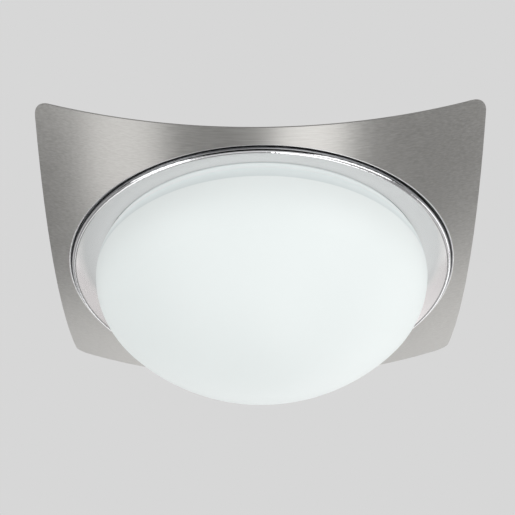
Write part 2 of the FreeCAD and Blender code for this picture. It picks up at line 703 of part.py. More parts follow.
def along_x(turn):
    """Lay a piece made about +Z along +X, then turn it about the vertical."""
    return Rotation(Vector(0, 0, 1), turn).multiply(Rotation(Vector(0, 1, 0), 90))


def make_lampholder(name, turn):
    """A ceramic lampholder with its sleeve and contact, its angle bracket and two screws. Each is
    drawn about Z from the holder's back face, then laid along X. Its -X side turns to the ceiling."""
    way, back_way = ("-", "") if turn == 0 else ("", "-")
    seat = {"x": f"{way}holder_back", "y": f"{back_way}lamp_offset", "z": "lamp_z",
            "rotation": along_x(turn)}
    screw_hole = "bracket_screw_radius + screw_play"

    shell = new_body(f"lampholder_{name}_body")
    profile = new_sketch(shell, f"holder_section_{name}")
    outline(profile, [("0", "0"), ("holder_rear_radius", "0"),
                      ("holder_rear_radius", "holder_rear_length"),
                      ("holder_skirt_radius", "holder_skirt_start"),
                      ("holder_skirt_radius", "holder_length"), ("holder_bore", "holder_length"),
                      ("holder_bore", "holder_floor"), ("0", "holder_floor")])
    revolve(shell, profile, f"holder_turning_{name}")
    entries = new_sketch(shell, f"lead_entries_{name}", "YZ_Plane",
                         z="-(holder_rear_radius - entry_depth)")
    circles(entries, [("entry_spread", "entry_from_back"), ("-entry_spread", "entry_from_back")],
            "entry_radius")
    add_feature(shell, "Pocket", f"entry_holes_{name}", entries, Length="holder_rear_radius")
    taps = new_sketch(shell, f"screw_taps_{name}", "XY_Plane", z="bracket_screw_length")
    circles(taps, [("0", "bracket_screw_spread"), ("0", "-bracket_screw_spread")], screw_hole)
    add_feature(shell, "Pocket", f"screw_holes_{name}", taps, Length="2 * bracket_screw_length")
    place(shell, **seat)

    sleeve = new_body(f"lampholder_{name}_sleeve")
    ring = new_sketch(sleeve, f"sleeve_section_{name}")
    outer, end = "sleeve_bore + sleeve_sheet", "holder_length - sleeve_inset"
    outline(ring, [("sleeve_bore", "holder_floor"), (outer, "holder_floor"), (outer, end),
                   ("sleeve_bore", end)])
    revolve(sleeve, ring, f"sleeve_turning_{name}")
    place(sleeve, **seat)

    contact = new_body(f"lampholder_{name}_contact")
    strip = new_sketch(contact, f"contact_section_{name}")
    top = "holder_floor + contact_rise"
    outline(strip, [("-contact_reach", "holder_floor"), ("-contact_bend", "holder_floor"),
                    ("0", f"{top} - contact_sheet"), ("contact_end", f"{top} - contact_sheet"),
                    ("contact_end", top), ("0", top), ("-contact_bend", "holder_floor + contact_sheet"),
                    ("-contact_reach", "holder_floor + contact_sheet")])
    pad(contact, strip, f"contact_strip_{name}", "contact_width")
    place(contact, **seat)

    bracket = new_body(f"lampholder_{name}_bracket")
    angle = new_sketch(bracket, f"bracket_section_{name}")
    foot_end, foot_face = "-(bracket_sheet + bracket_foot)", "-(lamp_drop - bracket_sheet)"
    outline(angle, [("bracket_below", "0"), ("-lamp_drop", "0"), ("-lamp_drop", foot_end),
                    (foot_face, foot_end), (foot_face, "-bracket_sheet"),
                    ("bracket_below", "-bracket_sheet")])
    pad(bracket, angle, f"bracket_strip_{name}", "bracket_width")
    corner = (-number("lamp_drop"), 0.0)
    round_edges(bracket, f"bracket_bend_{name}", "bracket_sheet",
                lambda edge: edge.BoundBox.YLength > 1 and abs(edge.CenterOfMass.x - corner[0]) < 0.02
                and abs(edge.CenterOfMass.z - corner[1]) < 0.02)
    upright = new_sketch(bracket, f"upright_drills_{name}", "XY_Plane", z="bracket_sheet")
    circles(upright, [("0", "bracket_screw_spread"), ("0", "-bracket_screw_spread")], screw_hole)
    add_feature(bracket, "Pocket", f"upright_holes_{name}", upright, Length="3 * bracket_sheet")
    foot = new_sketch(bracket, f"foot_drills_{name}", "YZ_Plane")
    middle = "-(bracket_sheet + bracket_foot / 2)"
    circles(foot, [("bracket_width / 4", middle), ("-bracket_width / 4", middle)],
            "rivet_radius + rivet_play")
    cut_through(bracket, foot, f"foot_holes_{name}")
    place(bracket, **seat)

    screws = new_body(f"lampholder_{name}_screws")
    screw = stepped(screws, f"holder_screw_{name}",
                    [("screw_head_radius", "-(bracket_sheet + screw_head_height)", "-bracket_sheet"),
                     ("bracket_screw_radius", "-bracket_sheet", "bracket_screw_length - bracket_sheet")],
                    z="bracket_screw_spread")
    copies_round(screws, [screw], f"holder_screw_pair_{name}", "2")
    place(screws, **seat)


def make_bulb(name, turn):
    """A frosted bulb, drawn about Z from its tip: the envelope, the screw cap, its glass bead, the tip."""
    way, back_way = ("-", "") if turn == 0 else ("", "-")
    seat = {"x": f"{way}(holder_back - bulb_start)", "y": f"{back_way}lamp_offset", "z": "lamp_z",
            "rotation": along_x(turn)}
    inner = "(bulb_radius - bulb_wall)"
    inner_neck = "bulb_neck_radius - bulb_wall"
    envelope = [(inner_neck, "bulb_neck_start"), ("bulb_neck_radius", "bulb_neck_start"),
                ("bulb_neck_radius", "taper_foot"), ("taper_radius", "taper_top"), ("0", "bulb_length"),
                ("0", "bulb_length - bulb_wall"),
                (f"{inner} * cos(bulb_taper)", f"bulb_centre - {inner} * sin(bulb_taper)"),
                (inner_neck, "taper_foot")]
    mouth = "cap_mouth_radius"
    cap = [(mouth, "cap_mouth_start"), ("cap_radius", "cap_start"), ("cap_radius", "cap_end"),
           ("cap_radius - cap_sheet", "cap_end"), ("cap_radius - cap_sheet", "cap_start + cap_sheet / 2"),
           (mouth, "cap_mouth_start + cap_sheet")]
    bead = [("0", "tip_height"), ("tip_radius", "tip_height"), (mouth, "cap_mouth_start"),
            (mouth, "cap_start"), ("0", "cap_start")]
    tip = [("0", "0"), ("tip_radius - tip_height", "0"), ("tip_radius", "tip_height"), ("0", "tip_height")]
    for piece, corners, arcs in (("glass", envelope, {3: ("bulb_radius", 1), 5: (inner, -1)}),
                                 ("cap", cap, {}), ("bead", bead, {}), ("tip", tip, {})):
        body = new_body(f"bulb_{name}_{piece}")
        profile = new_sketch(body, f"{piece}_section_{name}")
        outline(profile, corners, arcs)
        revolve(body, profile, f"{piece}_turning_{name}")
        place(body, **seat)


def make_terminal_block():
    poles = ["-pole_pitch", "0", "pole_pitch"]
    rows = ["block_reach - clamp_spread", "block_reach + clamp_spread"]
    block = new_body("terminal_block")
    face = new_sketch(block, "block_face", z="-block_reach")
    half = "block_length / 2"
    outline(face, [(f"-{half}", "block_bottom"), (half, "block_bottom"), (half, "floor_z"),
                   (f"-{half}", "floor_z")])
    pad(block, face, "moulding", "block_width")
    bores = new_sketch(block, "pole_bores", z="-block_reach")
    circles(bores, [(x, "pole_z") for x in poles], "tube_radius + tube_play")
    cut_through(block, bores, "pole_holes")
    wells = new_sketch(block, "clamp_wells", "XY_Plane", z="pole_z")
    circles(wells, [(x, y) for x in poles for y in rows], "clamp_screw_radius + well_play")
    add_feature(block, "Pocket", "well_holes", wells, Length="block_height")
    holes = [("-pole_pitch / 2", "block_reach"), ("pole_pitch / 2", "block_reach")]
    drills = new_sketch(block, "fixing_drills", "XY_Plane")
    circles(drills, holes, "block_screw_radius + screw_play")
    cut_through(block, drills, "fixing_holes")
    seat = "(block_bottom + block_screw_sink)"
    sinks = new_sketch(block, "fixing_sinks", "XY_Plane", z=seat)
    circles(sinks, holes, "block_screw_head + well_play")
    add_feature(block, "Pocket", "sink_holes", sinks, Length="block_height")

    tubes = new_body("terminal_tubes")
    rings = new_sketch(tubes, "tube_rings", z="-block_reach")
    circles(rings, [(x, "pole_z") for x in poles], "tube_radius")
    circles(rings, [(x, "pole_z") for x in poles], "tube_bore")
    pad(tubes, rings, "brass_tubes", "block_width")

    clamps = new_body("terminal_screws")
    rounds = new_sketch(clamps, "clamp_rounds", "XY_Plane", z="pole_z - tube_radius - clamp_screw_length")
    circles(rounds, [(x, y) for x in poles for y in rows], "clamp_screw_radius")
    add_feature(clamps, "Pad", "clamp_screws", rounds, Length="clamp_screw_length")

    screws = new_body("terminal_block_screws")
    shanks = new_sketch(screws, "shank_rounds", "XY_Plane", z=seat)
    circles(shanks, holes, "block_screw_radius")
    add_feature(screws, "Pad", "shanks", shanks, Length=f"pan_back + block_screw_tail - {seat}")
    heads = new_sketch(screws, "head_rounds", "XY_Plane", z=f"{seat} - block_screw_head_height")
    circles(heads, holes, "block_screw_head")
    add_feature(screws, "Pad", "heads", heads, Length="block_screw_head_height")


def make_grommet():
    body = new_body("cable_grommet")
    profile = new_sketch(body, "grommet_section", x="grommet_x", z="-grommet_y")
    low, high = "floor_z - grommet_lip", "pan_back + grommet_lip"
    outline(profile, [("grommet_bore", low), ("grommet_rim", low), ("grommet_rim", "floor_z"),
                      ("grommet_waist", "floor_z"), ("grommet_waist", "pan_back"),
                      ("grommet_rim", "pan_back"), ("grommet_rim", high), ("grommet_bore", high)])
    revolve(body, profile, "grommet_ring")
    low_edge, high_edge = number(low), number(high)
    rim = number("grommet_rim")
    round_edges(body, "grommet_rims", "grommet_lip / 2",
                lambda edge: edge.BoundBox.ZLength < 0.02 and abs(edge.BoundBox.XLength / 2 - rim) < 0.02
                and min(abs(edge.BoundBox.ZMax - low_edge), abs(edge.BoundBox.ZMax - high_edge)) < 0.02)


def make_earth_fixing():
    at = {"x": "earth_x", "z": "-earth_y"}
    screw = new_body("earth_screw")
    stepped(screw, "earth_screw_turning",
            [("earth_head_radius", "tag_z - earth_head_height", "tag_z"),
             ("earth_radius", "tag_z", "tag_z + earth_length")], **at)
    nut = new_body("earth_nut")
    hexes = new_sketch(nut, "earth_nut_outline", "XY_Plane", x="earth_x", y="earth_y", z="pan_back")
    hexagon(hexes, "earth_nut_flats")
    circles(hexes, [("0", "0")], "earth_radius + screw_play")
    add_feature(nut, "Pad", "earth_nut_body", hexes, Length="earth_nut_height")
    tag = new_body("earth_tag")
    ring = new_sketch(tag, "tag_ring", "XY_Plane", x="earth_x", y="earth_y", z="tag_z")
    circles(ring, [("0", "0")], "tag_radius")
    circles(ring, [("0", "0")], "earth_radius + stud_play")
    add_feature(tag, "Pad", "ring_tongue", ring, Length="tag_sheet")
    barrel_z = "floor_z - tag_barrel_radius"
    barrel = new_sketch(tag, "barrel_round", "YZ_Plane", x="earth_y", y=barrel_z,
                        z="tag_barrel_end - tag_barrel_length")
    circles(barrel, [("0", "0")], "tag_barrel_radius")
    circles(barrel, [("0", "0")], "lead_radius + screw_play")
    add_feature(tag, "Pad", "barrel", barrel, Length="tag_barrel_length")


def lead_path(points):
    """Straight runs joined by tangent arcs. Each arc takes 0.45 of its shorter run."""
    edges, radii, here = [], [], points[0]
    for before, corner, after in zip(points, points[1:], points[2:]):
        arrive, leave = corner - before, after - corner
        half_turn = arrive.getAngle(leave) / 2
        reach = 0.45 * min(arrive.Length, leave.Length)
        radius = reach / math.tan(half_turn)
        arrive.normalize()
        leave.normalize()
        start, end = corner - arrive * reach, corner + leave * reach
        inward = (leave - arrive).normalize()
        middle = corner + inward * (radius / math.cos(half_turn) - radius)
        edges += [Part.LineSegment(here, start).toShape(), Part.Arc(start, middle, end).toShape()]
        radii.append(radius)
        here = end
    edges.append(Part.LineSegment(here, points[-1]).toShape())
    return Part.Wire(edges), radii


def lead_solid(points):
    radius = number("lead_radius")
    path, radii = lead_path(points)
    ring = Part.Wire(Part.makeCircle(radius, points[0], points[1] - points[0]))
    solid = path.makePipeShell([ring], True, False)
    share = solid.Volume / (math.pi * radius ** 2 * path.Length)
    print(f"lead: {path.Length:.1f} mm long, volume share {share:.4f}, radii",
          " ".join(f"{r:.1f}" for r in radii))
    return solid


def add_leads(label, routes):
    item = doc.addObject("Part::Feature", label)
    item.Label = label
    solids = [lead_solid(route) for route in routes]
    item.Shape = solids[0] if len(solids) == 1 else Part.makeCompound(solids)
    item.Placement = Placement()
    parts.append(item)


def make_leads():
    """Silicone-covered leads inside the glass, from each lampholder's entries to the terminal block.
    Lampholder a's leads run above lampholder b's where they share a pole."""
    entry_x = number("holder_back - entry_from_back")
    entry_z = number("lamp_z + holder_rear_radius - lead_insert")
    face = number("block_reach - block_width / 2")
    pole, middle, step = number("pole_pitch"), number("pole_z"), number("lead_step")
    high, low = middle + step, middle - step
    near, far = number("lamp_offset - entry_spread"), number("lamp_offset + entry_spread")

    def route(start, ways, height, pole_x):
        points = [(start[0], start[1], entry_z), (start[0], start[1], height)]
        points += [(x, y, height) for x, y in ways] + [(pole_x, face, height)]
        return [Vector(*point) for point in points]

    add_leads("live_leads", [route((-entry_x, far), [(-31, 43), (-pole, 54)], high, -pole),
                             route((entry_x, -far), [(27, -20), (0, 18), (-pole, 52)], low, -pole)])
    add_leads("neutral_leads", [route((-entry_x, near), [(-30, 33), (0, 52)], high, 0),
                                route((entry_x, -near), [(30, -12), (8, 20), (0, 50)], low, 0)])
    tag_x = number("tag_barrel_end - tag_barrel_length / 2")
    tag_y, tag_z = number("earth_y"), number("floor_z - tag_barrel_radius")
    earth_route = [(pole, face, middle), (pole, face - 11, middle), (pole + 5, tag_y, tag_z),
                   (tag_x, tag_y, tag_z)]
    add_leads("earth_lead", [[Vector(*point) for point in earth_route]])


def check_parts():
    for item in doc.Objects:
        if "Invalid" in item.State or "Error" in item.State:
            raise RuntimeError(f"{item.Name} did not build: {item.State}")
    for item in parts:
        if item.Shape.isNull() or not item.Shape.isValid():
            raise RuntimeError(f"{item.Label} has no valid shape")


def write_parts():
    os.makedirs("parts", exist_ok=True)
    for item in parts:
        item.Shape.exportStep(f"parts/{item.Label}.step")
        print(f"{item.Label}: {len(item.Shape.Solids)} solid(s), {item.Shape.Volume:.1f} mm3")


fill_sheet()
make_cover_plate()
make_pan()
make_plate_fixings()
make_glass()
make_gasket()
make_mounting_bar()
make_bar_fixings()
make_clips()
make_rivets()
for lampholder, turned in (("a", 0), ("b", 180)):
    make_lampholder(lampholder, turned)
    make_bulb(lampholder, turned)
make_terminal_block()
make_grommet()
make_earth_fixing()
make_leads()
doc.recompute()
check_parts()
write_parts()
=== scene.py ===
import math

import bpy
import numpy as np
from mathutils import Matrix, Vector


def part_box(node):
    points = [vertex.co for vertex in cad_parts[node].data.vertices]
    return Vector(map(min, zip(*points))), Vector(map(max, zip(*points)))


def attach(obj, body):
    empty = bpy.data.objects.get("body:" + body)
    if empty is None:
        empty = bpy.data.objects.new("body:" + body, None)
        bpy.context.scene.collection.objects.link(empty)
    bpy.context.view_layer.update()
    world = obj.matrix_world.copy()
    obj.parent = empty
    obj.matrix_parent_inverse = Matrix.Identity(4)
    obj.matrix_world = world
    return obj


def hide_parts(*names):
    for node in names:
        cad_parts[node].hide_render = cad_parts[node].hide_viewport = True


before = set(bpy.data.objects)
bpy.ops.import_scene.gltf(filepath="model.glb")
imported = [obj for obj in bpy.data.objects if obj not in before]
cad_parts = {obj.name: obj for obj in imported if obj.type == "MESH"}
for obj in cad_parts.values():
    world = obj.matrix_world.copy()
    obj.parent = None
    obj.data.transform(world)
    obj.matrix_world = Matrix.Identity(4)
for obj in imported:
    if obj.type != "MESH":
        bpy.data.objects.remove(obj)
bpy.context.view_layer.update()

# ---------------------------------------------------------------------------------------------
# The camera. The light hangs with its back at z = 0, so the photographer looks up at it from the
# near side (-Y). The angles and the distance, in metres, were fitted to the plate's corners, the
# ring and the glass's outline.

IMAGE_SIDE = 515
FOCAL_PIXELS = 1576.76
SENSOR_WIDTH = 36.0
CLIP_NEAR, CLIP_FAR = 0.01, 50.0
ELEVATION = math.radians(36.70)
YAW = math.radians(-0.09)
ROLL = math.radians(-0.508)
DISTANCE = 1.14558
AIM = Vector((-0.001145, 0.0, -0.027749))
AIM_RISE = 0.007697

ahead = Vector((0, math.cos(ELEVATION), math.sin(ELEVATION)))
right = Vector((1, 0, 0))
up = Vector((0, -math.sin(ELEVATION), math.cos(ELEVATION)))
station = AIM - DISTANCE * ahead + AIM_RISE * up
turned_ahead = math.cos(YAW) * ahead + math.sin(YAW) * right
turned_right = math.cos(YAW) * right - math.sin(YAW) * ahead
rolled_right = math.cos(ROLL) * turned_right + math.sin(ROLL) * up
rolled_up = math.cos(ROLL) * up - math.sin(ROLL) * turned_right

camera_data = bpy.data.cameras.new("camera")
camera_data.sensor_width = SENSOR_WIDTH
camera_data.lens = FOCAL_PIXELS / IMAGE_SIDE * camera_data.sensor_width
camera_data.clip_start = CLIP_NEAR
camera_data.clip_end = CLIP_FAR
camera = bpy.data.objects.new("camera", camera_data)
camera.matrix_world = Matrix.LocRotScale(
    station, Matrix((rolled_right, rolled_up, -turned_ahead)).transposed(), None)
bpy.context.scene.collection.objects.link(camera)
bpy.context.scene.camera = camera
bpy.context.scene.view_settings.view_transform = "Standard"

# ---------------------------------------------------------------------------------------------
# The studio. Pale walls, a pale floor 2.4 m below the ceiling, strip lamps halfway down, whose
# light shows as the two bright bands on the plate, and soft lamps all round. A dark screen behind
# the photographer shows only as the dark line in the ring's lip. Lengths are in metres.

WALL_COLOUR = "#d7d7d7"
FLOOR_COLOUR, FAR_FLOOR_COLOUR = "#a7a7a7", "#e6e6e6"
FLOOR_DROP = 2.4
FLOOR_REACH = 40.0
FLOOR_PALER_FROM, FLOOR_PALEST_FROM = 6.2, 12.4
SCREEN_COLOUR = "#060606"
SCREEN_RADIUS = 2.0
SCREEN_HALF_TURN = math.radians(80)
SCREEN_STRIPS = 96
SCREEN_TOP, SCREEN_FOOT = 1.35, 0.12
SCREEN_LOW_FOOT, SCREEN_LOW_HALF_TURN = -0.5, 0.5
STUDIO_GRAIN = 16.7
LIGHT_MIDDLE = (0, 0, -0.05)


def linear(hex_colour):
    """The linear colour of an sRGB hex value: each channel v is ((v + 0.055) / 1.055) to the power
    2.4, or v / 12.92 where it is dark."""
    channels = [int(hex_colour[i:i + 2], 16) / 255 for i in (1, 3, 5)]
    return tuple(v / 12.92 if v <= 0.04045 else ((v + 0.055) / 1.055) ** 2.4
                 for v in channels) + (1.0,)


def add(tree, kind, **settings):
    """Add a node. Each setting names an input, with _ for a space and a number after __ for one of
    several alike, which it links or fills, or else a property. Stops fill a colour ramp."""
    new = tree.nodes.new(kind)
    inputs = {}
    for name, value in settings.items():
        if name == "stops":
            while len(new.color_ramp.elements) < len(value):
                new.color_ramp.elements.new(0.5)
            for element, (place, colour) in zip(new.color_ramp.elements, value):
                element.position = place
                element.color = linear(colour)
        elif hasattr(new, name):
            setattr(new, name, value)
        else:
            inputs[name] = value
    for name, value in inputs.items():
        label, _, index = name.partition("__")
        alike = [s for s in new.inputs if s.name == label.replace("_", " ") and s.enabled]
        socket = alike[int(index or 0)]
        if isinstance(value, bpy.types.NodeSocket):
            tree.links.new(value, socket)
        else:
            socket.default_value = value
    return new


def empty_material(name):
    """A material with no nodes in it yet."""
    material = bpy.data.materials.new(name)
    material.use_nodes = True
    material.node_tree.nodes.clear()
    return material


def surface(name, points, faces):
    """An object at the origin with these points, in metres, and faces of four points each."""
    mesh = bpy.data.meshes.new(name)
    mesh.from_pydata(points.tolist(), [], faces.tolist())
    made = bpy.data.objects.new(name, mesh)
    bpy.context.scene.collection.objects.link(made)
    return made


def soft_lamp(name, place, size, power, aim=None):
    """A rectangular lamp that faces aim, or else straight up, and is hidden from the camera. Its
    power is in watts."""
    data = bpy.data.lights.new(name, "AREA")
    data.shape = "RECTANGLE"
    data.size, data.size_y = size
    data.energy = power
    lamp = bpy.data.objects.new(name, data)
    lamp.location = place
    facing = Vector(aim or (place[0], place[1], 0)) - Vector(place)
    lamp.rotation_euler = facing.to_track_quat("-Z", "Y").to_euler()
    lamp.visible_camera = False
    bpy.context.scene.collection.objects.link(lamp)


world = bpy.data.worlds.new("studio")
world.use_nodes = True
bpy.context.scene.world = world
room = world.node_tree
room.nodes.clear()
walls = add(room, "ShaderNodeBackground", Color=linear(WALL_COLOUR), Strength=1.0)
add(room, "ShaderNodeOutputWorld", Surface=walls.outputs[0])

soft_lamp("strip_left", (-0.66, 0.2, -1.2), (0.42, 1.4), 2.4)
soft_lamp("strip_left_end", (-1.06, -0.3, -1.2), (0.4, 0.8), 0.85)
soft_lamp("strip_right", (0.23, 0.2, -1.2), (0.33, 1.4), 2.55)
soft_lamp("lamp_right", (1.8, -1.4, -0.7), (1.9, 2.2), 22.5, LIGHT_MIDDLE)
soft_lamp("lamp_left", (-1.9, -1.3, -0.65), (1.4, 1.8), 14.0, LIGHT_MIDDLE)
soft_lamp("lamp_near", (0, -0.9, -1.25), (2.4, 1.0), 3.5, LIGHT_MIDDLE)
soft_lamp("lamp_far", (0.3, 2.6, -0.5), (3.5, 1.4), 13.5, LIGHT_MIDDLE)
soft_lamp("lamp_far_left", (-0.6, 1.6, -1.2), (0.55, 1.4), 1.5)
soft_lamp("lamp_far_right", (0.6, 1.6, -1.2), (0.55, 1.4), 1.2)
soft_lamp("lamp_corner_right", (1.6, 2.1, -1.2), (1.1, 0.9), 3.6)
soft_lamp("lamp_side_right", (2.2, 1.0, -0.8), (1.6, 1.4), 7.0, LIGHT_MIDDLE)

corners = np.array([(-1, -1), (1, -1), (1, 1), (-1, 1)]) * FLOOR_REACH
floor = surface("floor", np.column_stack([corners, np.full(4, -FLOOR_DROP)]),
                np.array([[0, 1, 2, 3]]))

# The screen is an upright wall on part of a circle about the light's axis: at the turn t from the
# near side it stands at (radius sin t, -radius cos t), and its foot is lower in the middle.
turn = np.linspace(-SCREEN_HALF_TURN, SCREEN_HALF_TURN, SCREEN_STRIPS + 1)
foot = np.where(np.abs(turn) < SCREEN_LOW_HALF_TURN, SCREEN_LOW_FOOT, SCREEN_FOOT)
foot_points = np.stack([SCREEN_RADIUS * np.sin(turn), -SCREEN_RADIUS * np.cos(turn), foot], axis=1)
top_points = foot_points * (1, 1, 0) + (0, 0, SCREEN_TOP)
left = np.arange(SCREEN_STRIPS)
top_left = left + SCREEN_STRIPS + 1
screen = surface("dark_screen", np.concatenate([foot_points, top_points]),
                 np.stack([left, left + 1, top_left + 1, top_left], axis=1))
screen.visible_camera = screen.visible_diffuse = screen.visible_shadow = False

# A flat emulsion and black cloth: both dull, with a faint unevenness, its grain in mm. The floor is
# paler far out, where it meets the walls.
for panel, name, colour, far_colour in (
        (floor, "floor_emulsion", FLOOR_COLOUR, FAR_FLOOR_COLOUR),
        (screen, "black_screen_cloth", SCREEN_COLOUR, SCREEN_COLOUR)):
    paint = empty_material(name)
    tree = paint.node_tree
    place = add(tree, "ShaderNodeTexCoord")
    uneven = add(tree, "ShaderNodeTexNoise", Vector=place.outputs["Object"],
                 Scale=1000 / STUDIO_GRAIN, Detail=3.0)
    bump = add(tree, "ShaderNodeBump", Height=uneven.outputs["Fac"], Strength=0.1, Distance=0.0005)
    reach = add(tree, "ShaderNodeVectorMath", operation="LENGTH", Vector=place.outputs["Object"])
    share = add(tree, "ShaderNodeMath", operation="DIVIDE", Value__0=reach.outputs["Value"],
                Value__1=FLOOR_REACH)
    shade = add(tree, "ShaderNodeValToRGB", Fac=share.outputs[0],
                stops=[(FLOOR_PALER_FROM / FLOOR_REACH, colour),
                       (FLOOR_PALEST_FROM / FLOOR_REACH, far_colour)])
    dull = add(tree, "ShaderNodeBsdfPrincipled", Base_Color=shade.outputs[0], Roughness=0.9,
               Specular_IOR_Level=0.1, Normal=bump.outputs[0])
    add(tree, "ShaderNodeOutputMaterial", Surface=dull.outputs[0])
    panel.data.materials.append(paint)

# ---------------------------------------------------------------------------------------------
# Cover plate: a square of sheet steel pressed into a shallow dome, its hole's edge turned up, then
# brushed along X and satin nickel plated. The brushing draws highlights out across it, so the
# strip lamps show as bands. The hole's turned-up edge is painted white: a painted highlight for
# the light its rounding catches.

# The third colour is a painted highlight, white on the hole's turned-up edge.
NICKEL_LIGHT, NICKEL_DARK, NICKEL_PAINTED_HIGHLIGHT = "#bfbebb", "#a9a7a4", "#ffffff"
NICKEL_ROUGHNESS = (0.30, 0.38)
BRUSH_LINE = (40.0, 0.8, 0.8)   # mm; the real lines, about 0.1 mm apart, would be too fine to show
PAINTED_HIGHLIGHT_RADII = (0.1385, 0.1391)   # m from the axis, over which the bright edge gives way to nickel
NOISE_LOW, NOISE_HIGH = 0.3, 0.7


def mottled(name, light, dark, grain, roughness, relief, **shader):
    """A finish whose colour and roughness vary between two values with noise of a grain size in mm,
    one for each axis or one for all, and whose surface rises by relief, in mm, with it. roughness
    is (lowest, highest). The rest are inputs of the shader."""
    material = empty_material(name)
    tree = material.node_tree
    place = add(tree, "ShaderNodeTexCoord")
    per_metre = [1000 / size for size in (grain if isinstance(grain, tuple) else (grain,) * 3)]
    spread = add(tree, "ShaderNodeMapping", Vector=place.outputs["Object"], Scale=per_metre)
    noise = add(tree, "ShaderNodeTexNoise", Vector=spread.outputs[0], Scale=1.0, Detail=4.0,
                Roughness=0.6)
    colour = add(tree, "ShaderNodeValToRGB", Fac=noise.outputs["Fac"],
                 stops=[(NOISE_LOW, dark), (NOISE_HIGH, light)])
    gloss = add(tree, "ShaderNodeMapRange", Value=noise.outputs["Fac"], From_Min=NOISE_LOW,
                From_Max=NOISE_HIGH, To_Min=roughness[0], To_Max=roughness[1])
    bump = add(tree, "ShaderNodeBump", Height=noise.outputs["Fac"], Strength=1.0,
               Distance=relief / 1000)
    shell = add(tree, "ShaderNodeBsdfPrincipled", Base_Color=colour.outputs[0],
                Roughness=gloss.outputs[0], Normal=bump.outputs[0], **shader)
    add(tree, "ShaderNodeOutputMaterial", Surface=shell.outputs[0])
    return material


def dress(material, *nodes):
    """Give CAD nodes a material."""
    for name in nodes:
        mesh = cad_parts[name].data
        mesh.materials.clear()
        mesh.materials.append(material)


def distance_from_axis(tree):
    """The distance from the light's upright axis: the length of the Object coordinates' x and y."""
    place = add(tree, "ShaderNodeTexCoord")
    level = add(tree, "ShaderNodeVectorMath", operation="MULTIPLY",
                Vector__0=place.outputs["Object"], Vector__1=(1, 1, 0))
    length = add(tree, "ShaderNodeVectorMath", operation="LENGTH", Vector=level.outputs[0])
    return length.outputs["Value"]


satin_nickel = mottled("brushed_satin_nickel", NICKEL_LIGHT, NICKEL_DARK, BRUSH_LINE,
                       NICKEL_ROUGHNESS, 0.02, Metallic=1.0, Anisotropic=0.85)
tree = satin_nickel.node_tree
shell = tree.nodes["Principled BSDF"]
across_brushing = add(tree, "ShaderNodeCombineXYZ", Y=1.0)
tree.links.new(across_brushing.outputs[0], shell.inputs["Tangent"])
# Painted highlight: the nickel is painted white on the hole's turned-up edge and fades to nickel
# outward.
beyond_edge = add(tree, "ShaderNodeMapRange", Value=distance_from_axis(tree),
                  From_Min=PAINTED_HIGHLIGHT_RADII[0], From_Max=PAINTED_HIGHLIGHT_RADII[1])
painted_edge_highlight = add(tree, "ShaderNodeMix", data_type="RGBA", Factor=beyond_edge.outputs[0],
             A=linear(NICKEL_PAINTED_HIGHLIGHT), B=tree.nodes["Color Ramp"].outputs[0])
tree.links.new(painted_edge_highlight.outputs["Result"], shell.inputs["Base Color"])
dress(satin_nickel, "cover_plate")

# ---------------------------------------------------------------------------------------------
# Studs, nuts, washers, screws and the mounting bar: turned or pressed mild steel with bright zinc
# plate, which is bluish, a little cloudy and half dull.

zinc = mottled("bright_zinc_plated_steel", "#c3c9cf", "#a9b0b8", 2.5, (0.28, 0.42), 0.004,
               Metallic=1.0)
dress(zinc, "plate_studs", "plate_nuts", "mounting_bar", "fixing_studs", "fixing_washers",
      "fixing_nuts", "terminal_screws", "terminal_block_screws", "earth_screw", "earth_nut")

# ---------------------------------------------------------------------------------------------
# Pan: one deep steel pressing, chromium plated all over and polished where it shows as the ring.
# The ring is nearly a mirror, cooler than the nickel. The dish inside it is satin and a shade
# warmer. In the gap behind the ring the chromium is painted grey: painted shade. Radii are in
# metres.

RING_CHROME, RING_CHROME_CLOUDED = "#e9e9ea", "#e2e2e4"
# The gap colour is painted shade, grey for the dark gap behind the ring.
SATIN_CHROME, GAP_PAINTED_SHADE = "#e9e5e5", "#a2a3a5"
SATIN_ROUGHNESS, POLISHED_ROUGHNESS = 0.22, 0.06
POLISH_RADII = (0.1335, 0.1350)
GAP_START_RADII, GAP_END_RADII = (0.1362, 0.1366), (0.1372, 0.1378)

# Only the colour follows the noise. The roughness goes from satin to polished instead.
chrome = mottled("polished_chromium_plate", RING_CHROME, RING_CHROME_CLOUDED, 14.0, (0.03, 0.06),
                 0.0, Metallic=1.0)
tree = chrome.node_tree
shell = tree.nodes["Principled BSDF"]
polished = add(tree, "ShaderNodeMapRange", Value=distance_from_axis(tree),
               From_Min=POLISH_RADII[0], From_Max=POLISH_RADII[1])
gloss = add(tree, "ShaderNodeMapRange", Value=polished.outputs[0], To_Min=SATIN_ROUGHNESS,
            To_Max=POLISHED_ROUGHNESS)
tree.links.new(gloss.outputs[0], shell.inputs["Roughness"])
plated = add(tree, "ShaderNodeMix", data_type="RGBA", Factor=polished.outputs[0],
             A=linear(SATIN_CHROME), B=tree.nodes["Color Ramp"].outputs[0])
# Painted shade: the chromium is painted grey in the gap behind the ring.
from_start = add(tree, "ShaderNodeMapRange", Value=distance_from_axis(tree),
                 From_Min=GAP_START_RADII[0], From_Max=GAP_START_RADII[1])
to_end = add(tree, "ShaderNodeMapRange", Value=distance_from_axis(tree),
             From_Min=GAP_END_RADII[0], From_Max=GAP_END_RADII[1], To_Min=1.0, To_Max=0.0)
in_gap = add(tree, "ShaderNodeMath", operation="MULTIPLY", Value__0=from_start.outputs[0],
             Value__1=to_end.outputs[0])
gap_painted_shade = add(tree, "ShaderNodeMix", data_type="RGBA", Factor=in_gap.outputs[0],
           A=plated.outputs["Result"], B=linear(GAP_PAINTED_SHADE))
tree.links.new(gap_painted_shade.outputs["Result"], shell.inputs["Base Color"])
dress(chrome, "pan")
